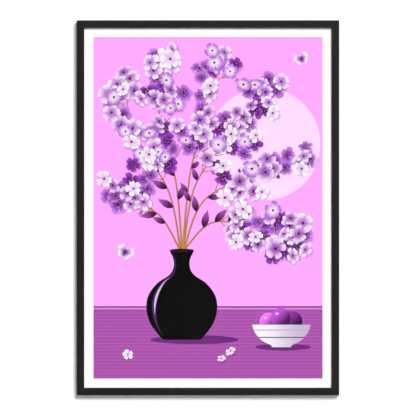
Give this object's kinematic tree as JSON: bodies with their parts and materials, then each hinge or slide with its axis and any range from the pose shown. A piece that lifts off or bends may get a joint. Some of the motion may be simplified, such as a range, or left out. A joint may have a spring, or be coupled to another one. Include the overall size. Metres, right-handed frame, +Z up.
{
  "type": "framed print",
  "caption": "Portrait wall print in a slim black wooden frame with clear glazing, a saw-tooth hanger and swivelling turn buttons that hold the back in.",
  "frame": {"origin": "middle notch of the hanger on the back of the top rail, where the nail's shank bears, in the plane of the wall", "axes": "+X to the right seen from the front, +Y from the front into the wall, +Z up"},
  "size_m": [0.7, 0.022, 1],
  "materials": {
    "black_satin_wood": "satin",
    "clear_acrylic": "gloss",
    "printed_paper": "matte",
    "corrugated_card": "matte",
    "hardboard": "matte",
    "nickel_plated_steel": "satin",
    "zinc_plated_steel": "satin",
    "brassed_steel": "satin",
    "black_rubber": "matte"
  },
  "bodies": {
    "frame": {"rail_top": "black_satin_wood", "rail_bottom": "black_satin_wood", "rail_left": "black_satin_wood", "rail_right": "black_satin_wood", "glazing": "clear_acrylic", "printed_sheet": "printed_paper", "filler_board": "corrugated_card", "backing_board": "hardboard", "corner_wedge_top": "zinc_plated_steel", "corner_wedge_bottom": "zinc_plated_steel", "corner_wedge_left": "zinc_plated_steel", "corner_wedge_right": "zinc_plated_steel", "button_screw_top_1": "zinc_plated_steel", "button_screw_top_2": "zinc_plated_steel", "button_screw_bottom_1": "zinc_plated_steel", "button_screw_bottom_2": "zinc_plated_steel", "button_screw_left_1": "zinc_plated_steel", "button_screw_left_2": "zinc_plated_steel", "button_screw_left_3": "zinc_plated_steel", "button_screw_right_1": "zinc_plated_steel", "button_screw_right_2": "zinc_plated_steel", "button_screw_right_3": "zinc_plated_steel", "hanger": "brassed_steel", "hanger_nail_left": "brassed_steel", "hanger_nail_right": "brassed_steel", "bumper_left": "black_rubber", "bumper_right": "black_rubber"},
    "button_top_1": {"turn_button_top_1": "nickel_plated_steel"},
    "button_top_2": {"turn_button_top_2": "nickel_plated_steel"},
    "button_bottom_1": {"turn_button_bottom_1": "nickel_plated_steel"},
    "button_bottom_2": {"turn_button_bottom_2": "nickel_plated_steel"},
    "button_left_1": {"turn_button_left_1": "nickel_plated_steel"},
    "button_left_2": {"turn_button_left_2": "nickel_plated_steel"},
    "button_left_3": {"turn_button_left_3": "nickel_plated_steel"},
    "button_right_1": {"turn_button_right_1": "nickel_plated_steel"},
    "button_right_2": {"turn_button_right_2": "nickel_plated_steel"},
    "button_right_3": {"turn_button_right_3": "nickel_plated_steel"}
  },
  "joints": [
    {"name": "turn_top_1", "type": "hinge", "parent": "frame", "child": "button_top_1", "pos_m": [0.175, -0.0032, 0.0035], "axis": [0, 1, 0], "continuous": true},
    {"name": "turn_top_2", "type": "hinge", "parent": "frame", "child": "button_top_2", "pos_m": [-0.175, -0.0032, 0.0035], "axis": [0, 1, 0], "continuous": true},
    {"name": "turn_bottom_1", "type": "hinge", "parent": "frame", "child": "button_bottom_1", "pos_m": [-0.175, -0.0032, -0.9825], "axis": [0, 1, 0], "continuous": true},
    {"name": "turn_bottom_2", "type": "hinge", "parent": "frame", "child": "button_bottom_2", "pos_m": [0.175, -0.0032, -0.9825], "axis": [0, 1, 0], "continuous": true},
    {"name": "turn_left_1", "type": "hinge", "parent": "frame", "child": "button_left_1", "pos_m": [-0.343, -0.0032, -0.1495], "axis": [0, 1, 0], "continuous": true},
    {"name": "turn_left_2", "type": "hinge", "parent": "frame", "child": "button_left_2", "pos_m": [-0.343, -0.0032, -0.4895], "axis": [0, 1, 0], "continuous": true},
    {"name": "turn_left_3", "type": "hinge", "parent": "frame", "child": "button_left_3", "pos_m": [-0.343, -0.0032, -0.8295], "axis": [0, 1, 0], "continuous": true},
    {"name": "turn_right_1", "type": "hinge", "parent": "frame", "child": "button_right_1", "pos_m": [0.343, -0.0032, -0.8295], "axis": [0, 1, 0], "continuous": true},
    {"name": "turn_right_2", "type": "hinge", "parent": "frame", "child": "button_right_2", "pos_m": [0.343, -0.0032, -0.4895], "axis": [0, 1, 0], "continuous": true},
    {"name": "turn_right_3", "type": "hinge", "parent": "frame", "child": "button_right_3", "pos_m": [0.343, -0.0032, -0.1495], "axis": [0, 1, 0], "continuous": true}
  ]
}
